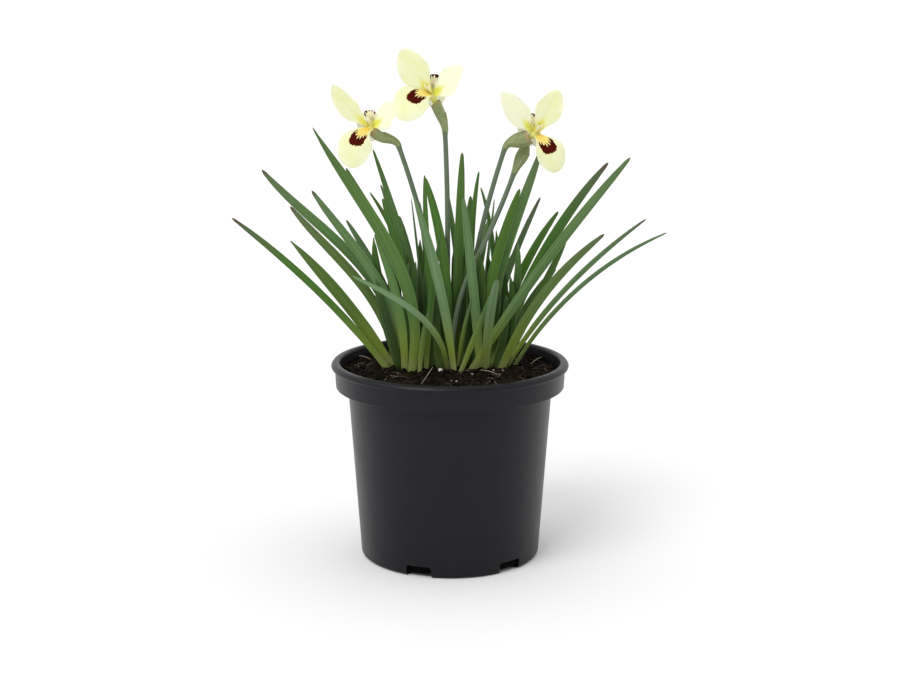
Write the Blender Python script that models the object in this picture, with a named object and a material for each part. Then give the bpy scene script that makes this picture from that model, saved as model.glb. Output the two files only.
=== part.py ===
"""A yellow iris in its black nursery pot: pot, soil, strap leaves, stems, spathes and three flowers.

Metres, +Z up, front towards -Y. The origin is the middle of the pot's flat underside.
Sizes in the tables below are millimetres and degrees, and MM turns them into metres.
"""

import math
from collections import namedtuple

import bmesh
import bpy
from mathutils import Matrix, Vector

MM = 0.001
GAP = 0.3                      # clearance between pieces that touch

# ---- pot: a 3 litre nursery pot, 190 mm across its bead ----
POT_HEIGHT = 158.8
POT_FLOOR = 2.6                # thickness of the flat base
POT_FOOT_R = 70.0              # outer radius where the pot stands
POT_WALL_R0 = 72.0             # outer wall radius just above the foot
POT_WALL_R1 = 81.6             # outer wall radius under the collar
POT_WALL = 1.8                 # wall thickness
COLLAR_Z = 137.8               # underside of the collar
COLLAR_R = 91.2
BEAD_Z = 153.4                 # underside of the rolled bead
BEAD_R = 95.0
LIP_R = 87.8                   # inner edge of the bead
POT_SIDES = 60
NOTCH_ANGLES = (-110.0, -49.0, 70.0, 131.0)    # drainage notches cut through the foot, from +X
NOTCH_WIDTH = 20.5
NOTCH_HEIGHT = 9.0
NOTCH_CORNER = 1.6             # cut off its upper corners
NOTCH_DEPTH = 13.0             # how far each notch reaches in from the wall

# ---- soil: fills the pot, nearly level, with a flat crown where the leaves come up ----
SOIL_SIDES = 40
SOIL_EDGE_Z = 149.5
SOIL_CROWN_Z = 152.6
SOIL_CROWN_R = 64.0

# ---- leaves ----
LEAF_RINGS = 10
LEAF_LAST_RING = 0.97          # share of the length where the last ring is, before the point
LEAF_CROWDING = 1.3            # draws the rings closer together towards the tip
LEAF_THICK = 1.9               # through the midrib at the base
LEAF_BASE_WIDTH = 0.74         # of the full width, where it leaves the soil
LEAF_TAPER_FROM = 0.52         # share of the length where the point begins

# root and tip are places in mm; bow lifts the middle of the blade above the straight line from
# root to tip, sway moves it back (+Y); face turns the blade away from the front, twist is added
# to that by the tip; skew brings the bend nearer the root, or the tip where it is negative; and
# point draws the tip out: 0.3 is a rounded tip and 0.9 a long one.
Leaf = namedtuple("Leaf", "root tip width bow sway face twist skew point", defaults=(0.0, 0.42))

LEFT_OUTER_FAN = (
    Leaf((-51, -2), (-167, -36, 278), 6.0, 6, 0, 20, 15),
    Leaf((-47, 3), (-124, -20, 258), 9.4, 3.5, 0, -10, 20, 0, 0.8),
    Leaf((-44, 9), (-127, 16, 280), 7.6, 12, 1, 15, -25, 0.7),
    Leaf((-41, 15), (-152, 44, 306), 8.0, 18, 3, -15, 30, 0.8),
    Leaf((-38, 22), (-82.5, 78, 232), 6.0, 6, 4, 25, 20),
)
LEFT_FAN = (
    Leaf((-36, -8), (-58, -26, 264), 7.0, 6, -3, -10, 20),
    Leaf((-37, -2), (-108, -4, 295), 7.6, 13, 0, 0, 20, 0.6),
    Leaf((-37, 6), (-83, 24, 268), 6.5, 8.5, 2, 20, 10, 0.3),
    Leaf((-31, 10), (-65, 42, 288), 5.0, 14, 2, 35, 0),
    Leaf((-27, 22), (-58, 86, 289), 6.0, 6, 5, 20, 20),
)
FRONT_FAN = (
    Leaf((-24, -15), (-17, -17, 201), 4.6, 1, 0, 20, 10),
    Leaf((-30, -13), (-104, -36, 347), 9.5, 20, -3, 5, 10, 0.6, 0.8),
    Leaf((-28, 4), (-82, 12, 311), 7.0, 15, 1, 10, 20, 0.6),
    Leaf((-23, -1), (-53, 4, 288), 7.5, 3, 0, -15, 20),
    Leaf((-19, -8), (-7, -12, 262), 5.5, 2, 0, 15, 20),
)
CENTRE_FAN = (
    Leaf((-2, -5), (-74, -64, 238), 5.2, 15, -6, 20, 20, 0.3),
    Leaf((3, -9), (-28.5, -28, 295), 8.0, 4, -3, -40, 60, 0, 0.7),
    Leaf((-10, 0), (-20, 6, 306), 6.0, -2, 0, 30, 10),
    Leaf((-4, 5), (-20, 18, 303), 8.0, 8, 1, -15, 15),
    Leaf((-17, 5), (-31, 22, 286), 5.5, 1, 1, 55, 20),
    Leaf((-8, 13), (-62, 40, 323), 5.8, 1, 4, 10, 20),
    Leaf((-21, 14), (-42, 62, 266), 8.0, 3, 4, 20, 15),
    Leaf((-13, 25), (-26, 94, 274), 8.0, 2, 6, 35, 20),
    Leaf((4, 13), (9.6, 8, 323.5), 7.8, 0, 2, 5, 5),
    Leaf((1, 29), (11, 102, 253), 8.5, 0, 7, -20, 25),
)
CENTRE_RIGHT_FAN = (
    Leaf((9, -13), (35, -25, 223), 5.0, 0, -1, 10, 10),
    Leaf((6, -3), (17, -14, 211), 4.0, 1, -1, 30, 10),
    Leaf((24, -1), (10.2, -6, 290.5), 7.8, 1, 0, 10, 10),
    Leaf((17, 6), (23, 26, 307), 6.0, 3.3, 2, 20, 15, -0.6),
    Leaf((11, 12), (-3.5, 30, 296), 6.0, 3, 1, 30, 10),
    Leaf((31, 17), (25, 52, 291), 4.8, 8, 3, 30, 0, -0.3),
    Leaf((21, 20), (36.2, 62, 280), 6.0, -1, 4, 55, 10),
    Leaf((7, 21), (17, 66, 282), 8.0, 0, 5, -20, 15),
    Leaf((15, 27), (33, 98, 258), 8.0, 3, 6, -30, 20),
)
RIGHT_FAN = (
    Leaf((29, -6), (36, -50, 233), 7.2, 2, 2, 0, 5, 0, 0.3),
    Leaf((18, -8), (137, -34, 324), 8.0, 4.5, -1, 15, -10),
    Leaf((21, 4), (55, 8, 295), 8.2, 4.5, 0, -10, 15),
    Leaf((32, 6.5), (71.5, 14, 325), 9.0, 9, 1, 0, 15, 0.6),
    Leaf((34, 9), (87, 30, 274), 7.0, 7.5, 2, -10, 15),
    Leaf((28, 11), (73, 42, 284), 6.5, 5, 3, 30, 0),
    Leaf((29, 24), (58, 88, 237), 8.0, 4, 6, -25, 20),
)
RIGHT_OUTER_FAN = (
    Leaf((41, -7), (118, -38, 266), 8.0, 9.5, -2, 10, 15),
    Leaf((36, 0), (125, 14, 315), 8.5, 10, 1, 0, 15),
    Leaf((45, -1), (152, -20, 275), 5.2, 8.5, -1, 20, 10),
    Leaf((52, 6), (172, 8, 260), 4.8, 13, 1, 25, 10),
    Leaf((44, 14), (96, 58, 248), 7.0, -1, 3, 10, 10),
    Leaf((41, 21), (88.5, 76, 220), 7.5, 3, 5, -20, 20),
)
LEAF_FANS = (LEFT_OUTER_FAN, LEFT_FAN, FRONT_FAN, CENTRE_FAN, CENTRE_RIGHT_FAN,
             RIGHT_FAN, RIGHT_OUTER_FAN)

# ---- flower stems, spathes and flowers ----
STEM_RINGS = 9
STEM_R_BASE = 2.3
STEM_R_TOP = 1.9
SPATHE_RINGS = 7

# root of the stem, the two handles that bend it, its top, the mouth of its spathe, or the tip of
# the closed one, and the spathe's radius
Stalk = namedtuple("Stalk", "name root low high top mouth girth")
STALKS = (
    Stalk("left", (-8, 26), (-7, 27, 205), (-18, 24, 263), (-40.6, 22, 327), (-60.3, 25.5, 338.4), 4.3),
    Stalk("middle", (-3.5, 19), (-1.5, 24, 215), (-1, 20, 280), (-3.9, 7, 340), (-11.2, 4, 362.3), 4.4),
    Stalk("right", (13, 23), (12, 29, 205), (23.5, 24, 264), (43.2, 16, 326.0), (62.3, 13.5, 335.0), 6.2),
    Stalk("bud", (1, -1), (3, 3, 228), (22, 16, 226), (50.8, 23, 305.5), (64.2, 29, 332), 4.8),
)

TEPAL_STATIONS = 7
TEPAL_THICK = 1.3
OUTER_CLAW = 0.30              # width of an outer tepal's claw, as a share of its blade's
INNER_CLAW = 0.22
THROAT_R = 3.2                 # where the six claws meet

# One tepal: its tip and the handle that its centre line leaves the throat by, both from the
# flower's centre, its full width, the direction of that width, and how far the sides curl away
# from the middle, as a share of the half width. Outer ones carry the blotch.
Tepal = namedtuple("Tepal", "tip bend width side arch", defaults=(0.06,))
Flower = namedtuple("Flower", "name centre facing outer inner")
FLOWERS = (
    Flower("left", (-62, 26, 342), (-0.45, -0.68, 0.58),
           (Tepal((-13.8, -14, -31.2), (-16.5, -13, -4.7), 28, (-0.90, 0.25, 0.10)),
            Tepal((-3, 30, -14), (-3, 9, 30.8), 20, (1, 0, 0), -0.5),
            Tepal((12, 28, 5), (7, 9, 15), 17, (0.83, -0.55, 0))),
           (Tepal((-29.8, -6, 33.6), (-22, -3, 13.5), 16, (0.75, 0.05, 0.66)),
            Tepal((21.5, -24, 19), (12, -13, 8), 21, (0.22, -0.48, -0.85)),
            Tepal((-13, 26, -20), (-8, 12, -6), 18, (0.89, 0.45, 0)))),
    Flower("middle", (-14, 2, 368.7), (-0.42, -0.66, 0.62),
           (Tepal((-23.5, -16, -18.5), (-13, -13, 8), 29, (-0.73, 0.44, 0.51)),
            Tepal((2, 30, -12), (3, 9, 36), 20, (1, 0, 0), -0.5),
            Tepal((12, 28, 7), (8, 8, 15), 17, (0.83, -0.55, 0))),
           (Tepal((-22.5, -6, 35.3), (-15.5, -3, 19), 24, (0.85, -0.03, 0.53)),
            Tepal((23, -20, 23), (13.3, -12, 8.3), 22, (0.36, -0.50, -0.79)),
            Tepal((-12, 26, -16), (-8, 8, -4), 18, (0.89, 0.45, 0)))),
    Flower("right", (66.7, 12, 337.6), (0.42, -0.68, 0.60),
           (Tepal((15, -14, -28.8), (13, -14, -4.2), 23.5, (-0.90, -0.25, -0.10)),
            Tepal((-3, 30, -12), (-5, 8, 36), 20, (1, 0, 0), -0.5),
            Tepal((-14, 26, 10), (-7, 8, 14), 17, (0.83, 0.55, 0))),
           (Tepal((17.2, -8, 34.7), (11.5, -4, 19.4), 21, (0.89, 0.07, -0.44)),
            Tepal((-26.6, -4, 32.6), (-13.6, -2, 15.5), 20, (0.72, 0.35, 0.60)),
            Tepal((10, 28, -20), (8, 10, -6), 18, (0.94, -0.34, 0)))),
)

# ---- colours: linear RGB ----
POT_BLACK = (0.018, 0.018, 0.021)
SOIL_BROWN = (0.022, 0.014, 0.009)
LEAF_GREEN = (0.095, 0.190, 0.065)
STEM_GREEN = (0.140, 0.220, 0.100)
SPATHE_GREEN = (0.260, 0.310, 0.160)
TEPAL_YELLOW = (0.860, 0.850, 0.480)


def clear_scene():
    for obj in list(bpy.data.objects):
        bpy.data.objects.remove(obj, do_unlink=True)


def material(name, colour, roughness):
    made = bpy.data.materials.new(name)
    made.use_nodes = True
    shader = made.node_tree.nodes["Principled BSDF"]
    shader.inputs["Base Color"].default_value = (*colour, 1.0)
    shader.inputs["Roughness"].default_value = roughness
    shader.inputs["Metallic"].default_value = 0.0
    return made


def bezier(start, handle_a, handle_b, end, t):
    s = 1.0 - t
    return start * s ** 3 + handle_a * (3 * s * s * t) + handle_b * (3 * s * t * t) + end * t ** 3


def smoothstep(x):
    x = min(max(x, 0.0), 1.0)
    return x * x * (3.0 - 2.0 * x)


def add_object(name, bm, finish, sharp_deg=None):
    """Turns a bmesh in millimetres into an object with one material."""
    bmesh.ops.recalc_face_normals(bm, faces=bm.faces)
    bmesh.ops.scale(bm, vec=(MM, MM, MM), verts=bm.verts)
    mesh = bpy.data.meshes.new(name)
    bm.to_mesh(mesh)
    bm.free()
    mesh.materials.append(finish)
    mesh.shade_smooth()
    if sharp_deg is not None:
        mesh.set_sharp_from_angle(angle=math.radians(sharp_deg))
    obj = bpy.data.objects.new(name, mesh)
    bpy.context.scene.collection.objects.link(obj)
    return obj


def boolean(target, cutter, operation):
    """Applies an exact boolean to the target and removes the cutter."""
    modifier = target.modifiers.new(operation.lower(), "BOOLEAN")
    modifier.object = cutter
    modifier.operation = operation
    modifier.solver = "EXACT"
    bpy.context.view_layer.update()
    evaluated = target.evaluated_get(bpy.context.evaluated_depsgraph_get())
    mesh = bpy.data.meshes.new_from_object(evaluated)
    target.modifiers.clear()
    target.data = mesh
    bpy.data.objects.remove(cutter, do_unlink=True)


def turned(name, profile, sides, finish, sharp_deg):
    """A closed solid turned about Z from (radius, z) pairs; a radius of 0 closes an end."""
    bm = bmesh.new()
    rings = []
    for radius, z in profile:
        if radius == 0:
            rings.append([bm.verts.new((0.0, 0.0, z))])
            continue
        angles = [2.0 * math.pi * k / sides for k in range(sides)]
        rings.append([bm.verts.new((radius * math.cos(a), radius * math.sin(a), z)) for a in angles])
    for low, high in zip(rings, rings[1:]):
        join_rings(bm, low, high)
    return add_object(name, bm, finish, sharp_deg)


def join_rings(bm, first, second):
    """Faces between two rings of vertices, either of which may be a single point."""
    count = max(len(first), len(second))
    for k in range(count):
        nxt = (k + 1) % count
        if len(first) == 1:
            bm.faces.new((first[0], second[k], second[nxt]))
        elif len(second) == 1:
            bm.faces.new((first[k], second[0], first[nxt]))
        else:
            bm.faces.new((first[k], second[k], second[nxt], first[nxt]))


def loft(bm, rings):
    """A closed body through rings of points; its ends are capped, or drawn to a point."""
    made = [[bm.verts.new(p) for p in ring] for ring in rings]
    for first, second in zip(made, made[1:]):
        join_rings(bm, first, second)
    for end in (made[0], made[-1]):
        if len(end) > 2:
            bm.faces.new(end)


def pot_profile():
    """Outer side from the foot to the lip, then the inner side back down to the floor."""
    inner_foot = POT_WALL_R0 - POT_WALL
    inner_collar = LIP_R - 0.6
    return (
        (0, 0), (POT_FOOT_R, 0), (POT_WALL_R0, 1.8),
        (POT_WALL_R1, COLLAR_Z), (COLLAR_R, COLLAR_Z + 0.4),
        (COLLAR_R + 0.8, BEAD_Z), (BEAD_R - 0.5, BEAD_Z + 0.5), (BEAD_R, BEAD_Z + 2.4),
        (BEAD_R - 1.6, POT_HEIGHT - 0.7), (BEAD_R - 3.6, POT_HEIGHT), (LIP_R + 0.8, POT_HEIGHT - 0.2),
        (LIP_R, POT_HEIGHT - 1.8), (inner_collar - 1.0, COLLAR_Z + 3.0),
        (POT_WALL_R1 - POT_WALL, COLLAR_Z - 2.0), (inner_foot, POT_FLOOR), (0, POT_FLOOR),
    )


def make_pot(finish):
    pot = turned("pot", pot_profile(), POT_SIDES, finish, 30)
    for angle in NOTCH_ANGLES:
        boolean(pot, notch_cutter(math.radians(angle)), "DIFFERENCE")
    pot.data.shade_smooth()
    pot.data.set_sharp_from_angle(angle=math.radians(30))
    return pot


def notch_cutter(angle):
    """A block with its two upper corners cut off, set across the foot of the wall."""
    half = NOTCH_WIDTH / 2.0
    outline = [(-half, -1.0), (half, -1.0), (half, NOTCH_HEIGHT - NOTCH_CORNER)]
    outline += [(half - NOTCH_CORNER, NOTCH_HEIGHT), (NOTCH_CORNER - half, NOTCH_HEIGHT)]
    outline += [(-half, NOTCH_HEIGHT - NOTCH_CORNER)]
    inner = POT_WALL_R0 - NOTCH_DEPTH
    outer = POT_WALL_R0 + 6.0
    bm = bmesh.new()
    loft(bm, [[(r, across, z) for across, z in outline] for r in (inner, outer)])
    bmesh.ops.rotate(bm, cent=(0, 0, 0), matrix=Matrix.Rotation(angle, 3, "Z"), verts=bm.verts)
    return add_object("notch_cutter", bm, None)


def soil_radius(z):
    """The soil's radius at a height: the pot's inner wall less the gap."""
    rise = (z - 1.8) / (COLLAR_Z - 1.8)
    outer = POT_WALL_R0 + (POT_WALL_R1 - POT_WALL_R0) * min(rise, 1.0)
    return outer - POT_WALL - 2.0 * GAP


def make_soil(finish):
    floor = POT_FLOOR + GAP
    profile = (
        (0, floor), (soil_radius(floor) - 1.0, floor), (soil_radius(60), 60.0),
        (soil_radius(COLLAR_Z) - 0.6, COLLAR_Z - 3.0), (LIP_R - 2.6, COLLAR_Z + 4.0),
        (LIP_R - 1.6, SOIL_EDGE_Z), (SOIL_CROWN_R + 8.0, SOIL_EDGE_Z + 1.6),
        (SOIL_CROWN_R, SOIL_CROWN_Z), (0, SOIL_CROWN_Z),
    )
    return turned("soil", profile, SOIL_SIDES, finish, 40)


def blade_point(leaf, t):
    """A point of the leaf's centre line, from root (0) to tip (1)."""
    root = Vector((*leaf.root, SOIL_CROWN_Z + GAP))
    chord = Vector(leaf.tip) - root
    lift = Vector((-chord.z, 0.0, chord.x)).normalized()
    if lift.z < 0:
        lift.negate()
    middle = 4.0 * t * (1.0 - t)
    bend = leaf.bow * middle * (1.0 + leaf.skew * (1.0 - 2.0 * t))
    return root + chord * t + lift * bend + Vector((0, leaf.sway * middle, 0))


def blade_width(t, point):
    """Share of the full width along the leaf: narrower at the root, strap-like, then a short point."""
    base = LEAF_BASE_WIDTH + (1.0 - LEAF_BASE_WIDTH) * smoothstep(t / 0.3)
    taper = max(t - LEAF_TAPER_FROM, 0.0) / (1.0 - LEAF_TAPER_FROM)
    return base * (1.0 - taper * taper) ** point


def blade_thickness(t):
    return LEAF_THICK * (1.0 - 0.62 * t)


def across(direction, face_deg):
    """The width direction of a blade that faces the front, turned about its own length."""
    forward = Vector((0.0, -1.0, 0.0))
    side = direction.cross(forward).normalized()
    return Matrix.Rotation(math.radians(face_deg), 3, direction) @ side


def blade_ring(leaf, t):
    """Four points: one edge, the front of the midrib, the other edge and its back."""
    step = 0.01
    centre = blade_point(leaf, t)
    direction = (blade_point(leaf, t + step) - blade_point(leaf, t - step)).normalized()
    side = across(direction, leaf.face + leaf.twist * t)
    normal = direction.cross(side)
    half_width = 0.5 * leaf.width * blade_width(t, leaf.point)
    half_thick = 0.5 * blade_thickness(t)
    points = [centre + side * half_width, centre + normal * half_thick,
              centre - side * half_width, centre - normal * half_thick]
    if t == 0:
        points = [p - direction * ((p.z - centre.z) / direction.z) for p in points]
    return points


def make_leaf(name, leaf, finish):
    bm = bmesh.new()
    left = [1.0 - k / (LEAF_RINGS - 1) for k in range(LEAF_RINGS)]
    rings = [blade_ring(leaf, LEAF_LAST_RING * (1.0 - share ** LEAF_CROWDING)) for share in left]
    loft(bm, rings + [[blade_point(leaf, 1.0)]])
    return add_object(name, bm, finish, 50)


def round_ring(centre, direction, radius, sides, flatten=1.0):
    """Points of a circle, or of an ellipse, square to a direction."""
    side = direction.cross(Vector((0.0, -1.0, 0.0))).normalized()
    normal = direction.cross(side)
    ring = []
    for k in range(sides):
        angle = 2.0 * math.pi * k / sides
        ring.append(centre + side * (radius * math.cos(angle))
                    + normal * (radius * flatten * math.sin(angle)))
    return ring


def stem_point(stalk, t):
    """Centre line of a stem, which leaves the soil nearly upright."""
    root = Vector((*stalk.root, SOIL_CROWN_Z + GAP))
    return bezier(root, Vector(stalk.low), Vector(stalk.high), Vector(stalk.top), t)


def make_stem(stalk, finish):
    bm = bmesh.new()
    rings = []
    for k in range(STEM_RINGS):
        t = k / (STEM_RINGS - 1)
        direction = (stem_point(stalk, t + 0.01) - stem_point(stalk, t - 0.01)).normalized()
        centre = stem_point(stalk, t)
        radius = STEM_R_BASE + (STEM_R_TOP - STEM_R_BASE) * t
        ring = round_ring(centre, direction, radius, 6)
        if k == 0:
            ring = [p - direction * ((p.z - centre.z) / direction.z) for p in ring]
        rings.append(ring)
    loft(bm, rings)
    return add_object("stem_" + stalk.name, bm, finish, 60)


def spathe_radius(t, girth, closed):
    """Radius of the sheath along its length; a bud's sheath draws to a point."""
    base = STEM_R_TOP + 0.3
    if closed:
        swell = base + (girth - base) * smoothstep(t / 0.5)
        return max(swell * (1.0 - smoothstep((t - 0.62) / 0.38)), 0.4)
    return base + (girth - base) * smoothstep(t / 0.7)


def make_spathe(stalk, flower, finish):
    """The green sheath that carries on from the stem's top and opens at the flower, if it has one."""
    direction_in = (stem_point(stalk, 1.0) - stem_point(stalk, 0.98)).normalized()
    start = Vector(stalk.top) + direction_in * GAP
    end = Vector(stalk.mouth)
    reach = (end - start).length
    bend_in = start + direction_in * (reach * 0.35)
    bend_out = start.lerp(end, 0.6)
    if flower:
        bend_out = end - (Vector(flower.centre) - end).normalized() * (reach * 0.3)

    rings = []
    for k in range(SPATHE_RINGS):
        t = k / (SPATHE_RINGS - 1)
        before, centre, after = (bezier(start, bend_in, bend_out, end, t + d) for d in (-0.01, 0, 0.01))
        radius = spathe_radius(t, stalk.girth, not flower)
        rings.append(round_ring(centre, (after - before).normalized(), radius, 8, 0.85))
    bm = bmesh.new()
    loft(bm, rings)
    return add_object("spathe_" + stalk.name, bm, finish, 60)


def tepal_outline(t, outer):
    """Share of the full width along a tepal: a claw, then a rounded blade, or an oval with a tip."""
    if outer:
        claw = OUTER_CLAW + (1.0 - OUTER_CLAW) * smoothstep((t - 0.05) / 0.5)
        tip = max(t - 0.62, 0.0) / 0.38
        return claw * math.sqrt(max(1.0 - tip ** 2.4, 0.0))
    claw = INNER_CLAW + (1.0 - INNER_CLAW) * smoothstep((t - 0.03) / 0.45)
    tip = max(t - 0.45, 0.0) / 0.55
    return claw * max(1.0 - tip ** 2.0, 0.0) ** 0.62


def tepal_point(flower, tepal, t):
    """A point of the tepal's centre line, from the throat (0) to the tip (1)."""
    return Vector(flower.centre) + Vector(tepal.bend) * (2.0 * t * (1.0 - t)) + Vector(tepal.tip) * (t * t)


def tepal_body(flower, tepal, outer):
    """A thin closed blade from the throat out to the tip."""
    bm = bmesh.new()
    rings = []
    for k in range(TEPAL_STATIONS):
        t = 0.03 + 0.94 * k / (TEPAL_STATIONS - 1)
        before, centre, after = (tepal_point(flower, tepal, t + d) for d in (-0.01, 0, 0.01))
        direction = (after - before).normalized()
        side = Vector(tepal.side)
        side = (side - direction * side.dot(direction)).normalized()
        normal = side.cross(direction)
        half = 0.5 * tepal.width * tepal_outline(t, outer)
        thick = 0.5 * TEPAL_THICK
        curl = normal * (tepal.arch * half)
        rings.append([centre + side * half + curl,
                      centre + side * (0.45 * half) + curl * 0.2 + normal * thick,
                      centre - side * (0.45 * half) + curl * 0.2 + normal * thick,
                      centre - side * half + curl,
                      centre - side * (0.45 * half) + curl * 0.2 - normal * thick,
                      centre + side * (0.45 * half) + curl * 0.2 - normal * thick])
    loft(bm, rings + [[tepal_point(flower, tepal, 1.0)]])
    return bm


def make_flower(flower, stalk, finish):
    """Six tepals joined at the throat, on a short tube that stands in the spathe's mouth."""
    centre = Vector(flower.centre)
    mouth = Vector(stalk.mouth)
    along = (centre - mouth).normalized()
    facing = Vector(flower.facing).normalized()
    bm = bmesh.new()
    start = mouth + along * (2.0 * GAP)
    loft(bm, [round_ring(start, along, 1.8, 8), round_ring(centre, along, THROAT_R, 8),
              round_ring(centre + along * 2.5, along, 1.6, 8)])
    body = add_object("flower_" + flower.name, bm, finish)
    for outer, group in ((True, flower.outer), (False, flower.inner)):
        for tepal in group:
            part = add_object("tepal", tepal_body(flower, tepal, outer), finish)
            boolean(body, part, "UNION")
    body.data.shade_smooth()
    body.data.set_sharp_from_angle(angle=math.radians(60))
    return body


def main():
    clear_scene()
    leaf_green = material("leaf_green", LEAF_GREEN, 0.45)
    stem_green = material("stem_green", STEM_GREEN, 0.5)
    spathe_green = material("spathe_green", SPATHE_GREEN, 0.6)
    tepal_yellow = material("tepal_yellow", TEPAL_YELLOW, 0.6)
    make_pot(material("pot_plastic", POT_BLACK, 0.4))
    make_soil(material("soil", SOIL_BROWN, 0.95))
    leaves = [leaf for fan in LEAF_FANS for leaf in fan]
    for number, leaf in enumerate(leaves, 1):
        make_leaf(f"leaf_{number:02d}", leaf, leaf_green)
    flowers = {flower.name: flower for flower in FLOWERS}
    for stalk in STALKS:
        make_stem(stalk, stem_green)
        make_spathe(stalk, flowers.get(stalk.name), spathe_green)
        if stalk.name in flowers:
            make_flower(flowers[stalk.name], stalk, tepal_yellow)


main()
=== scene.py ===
"""Looks of a yellow iris in its black nursery pot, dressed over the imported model.

Metres, +Z up, front towards -Y. The tables are in millimetres and degrees, and MM turns
millimetres into metres.
"""

import random
from collections import namedtuple
from functools import reduce
from math import copysign, cos, hypot, pi, radians, sin, sqrt, tau

import bmesh
import bpy
import numpy as np
from mathutils import Matrix, Vector, noise
from numpy.linalg import norm


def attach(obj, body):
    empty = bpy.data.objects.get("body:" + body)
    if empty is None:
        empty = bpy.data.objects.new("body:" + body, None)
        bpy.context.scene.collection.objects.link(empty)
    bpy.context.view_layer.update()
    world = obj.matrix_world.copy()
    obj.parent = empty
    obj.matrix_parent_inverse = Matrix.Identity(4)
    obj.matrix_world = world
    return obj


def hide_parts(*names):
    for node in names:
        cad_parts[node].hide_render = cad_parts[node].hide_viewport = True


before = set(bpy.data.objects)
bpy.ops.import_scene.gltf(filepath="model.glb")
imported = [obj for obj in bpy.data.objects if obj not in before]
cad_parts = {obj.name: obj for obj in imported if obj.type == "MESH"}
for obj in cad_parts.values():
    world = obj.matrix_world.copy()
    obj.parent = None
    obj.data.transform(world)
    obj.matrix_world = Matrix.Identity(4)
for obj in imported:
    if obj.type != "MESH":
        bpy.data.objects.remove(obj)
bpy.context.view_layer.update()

MM = 0.001
BODY = "root"
UP = (0.0, 0.0, 1.0)
BACK = (0.0, 1.0, 0.0)
TURN = 6.28  # radians, for random angles and phases

# ---- camera and light ----
CAMERA_PLACE = (0.0, -1.3085, 0.4555)
CAMERA_PITCH = 77.98  # degrees up from straight down
CAMERA_LENS = 67.1
CAMERA_SENSOR = 36.0
CAMERA_FAR = 1000.0
FLOOR_SIDE = 400.0
FLOOR_WHITE = (0.9, 0.9, 0.9)
SKY_SHADE = (-0.95, -0.1, 0.42, 1.0)  # strength 0.42 behind the camera, up to 1 at the sides
HORIZON_GLOW = (0.12, 0.04)  # heights in the sky between which its full white begins
KEY_STRENGTH = 1.35
KEY_ANGLES = (42.0, -8.0, -28.0)
KEY_SOFTNESS = 35.0  # degrees across the light

# ---- pot ----
POT_HEIGHT = 158.8
POT_FLOOR = 2.6
POT_FOOT_R = 70.0
POT_FOOT_RISE = 1.8  # height of the slope from the foot to the wall
POT_WALL_R0 = 72.0
POT_WALL_R1 = 81.6
POT_WALL = 1.8
COLLAR_Z = 137.8
COLLAR_R = 91.2
BEAD_Z = 153.4
BEAD_R = 95.0
LIP_R = 87.8
POT_ROUNDING = 0.9  # of the profile's corners
POT_ROUNDING_STEPS = 4
POT_SIDES = 180
POT_SHARP = 40.0  # edges steeper than this stay sharp
NOTCH_ANGLES = (-110.0, -49.0, 70.0, 131.0)
NOTCH_WIDTH = 20.5
NOTCH_HEIGHT = 9.0
NOTCH_CORNER = 2.0
NOTCH_REACH = (-13.0, 6.0)  # inwards and outwards from the wall's foot

# ---- soil ----
SOIL_TOP = ((0.0, 152.6), (64.0, 152.6), (72.0, 151.1), (86.2, 149.5))
SOIL_UNDER = ((LIP_R - 2.6, COLLAR_Z + 4.0), (78.6, COLLAR_Z - 3.0), (69.9, 2.9), (50.0, 2.9))
SOIL_RINGS = 70
SOIL_SIDES = 200
SOIL_SHADE_HEIGHTS = (100.0, 80.0)  # heights between which painted shade darkens the peat, for the shadow seen through the notches
CLODS = ((1.7, 3.0, 13.0), (1.5, 9.0, 4.6), (0.6, 5.0, 1.9))  # height, place in the noise, breadth
CRUMB_COUNT = 2600
CRUMB_REACH = 84.5  # from the middle of the pot
FIBRE_COUNT = 150
FIBRE_REACH = 76.0  # they start inside this radius
FIBRE_LIMIT = 84.0  # and end inside this one
FIBRE_POINTS = 14
FIBRE_SIDES = 6
ROOT_R = 0.36
ROOTS = (((-13, 2), (-22, -61), 1.6), ((-38, -17), (-51, -47), 1.0),
         ((24, -10), (38, -28), 1.0), ((78, 50), (65, 9), 1.5),
         ((-77, 47), (-65, 33), 1.2), ((15, 55), (21, 71), 1.5))  # start, end, rise
PERLITE_LARGE = (-7.6, -24.5)
PERLITE_SMALL = ((1.5, -50.0), (4.0, -51.5), (5.0, -49.0))
PERLITE_COUNT = 26  # the finer grains
PERLITE_REACH = 82.0

# ---- leaves ----
LEAF_COUNT = 47
LEAF_STATIONS = 56
LEAF_FIRST_RINGS = 10  # rings of four points in a leaf's solid
LEAF_LAST_RING = 0.97  # share of the length where the last of them is
LEAF_CROWDING = 1.3  # draws them closer together towards the tip
LEAF_TIP_START = 0.93  # from here the stations are closer together
LEAF_TIP_STATIONS = 10
LEAF_ACROSS = 12  # strips across one face
LEAF_THICK = 0.62
LEAF_BACK_U = 40.0  # moves the pattern on a leaf's other face
LEAF_BURIED = 5.0  # how far a leaf carries on below the soil's surface
INNER_COUNT = 46  # short leaves in the thick of the clump
INNER_WIDTH = 6.6
INNER_X = (-44.0, 44.0)  # where they root
INNER_Y = (-8.0, 32.0)
INNER_HEIGHT = (55.0, 105.0)
INNER_POINTS = 14
INNER_CLEARANCE = 3.1  # least distance between their middle lines and any others
INNER_TRIES = 400

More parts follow.
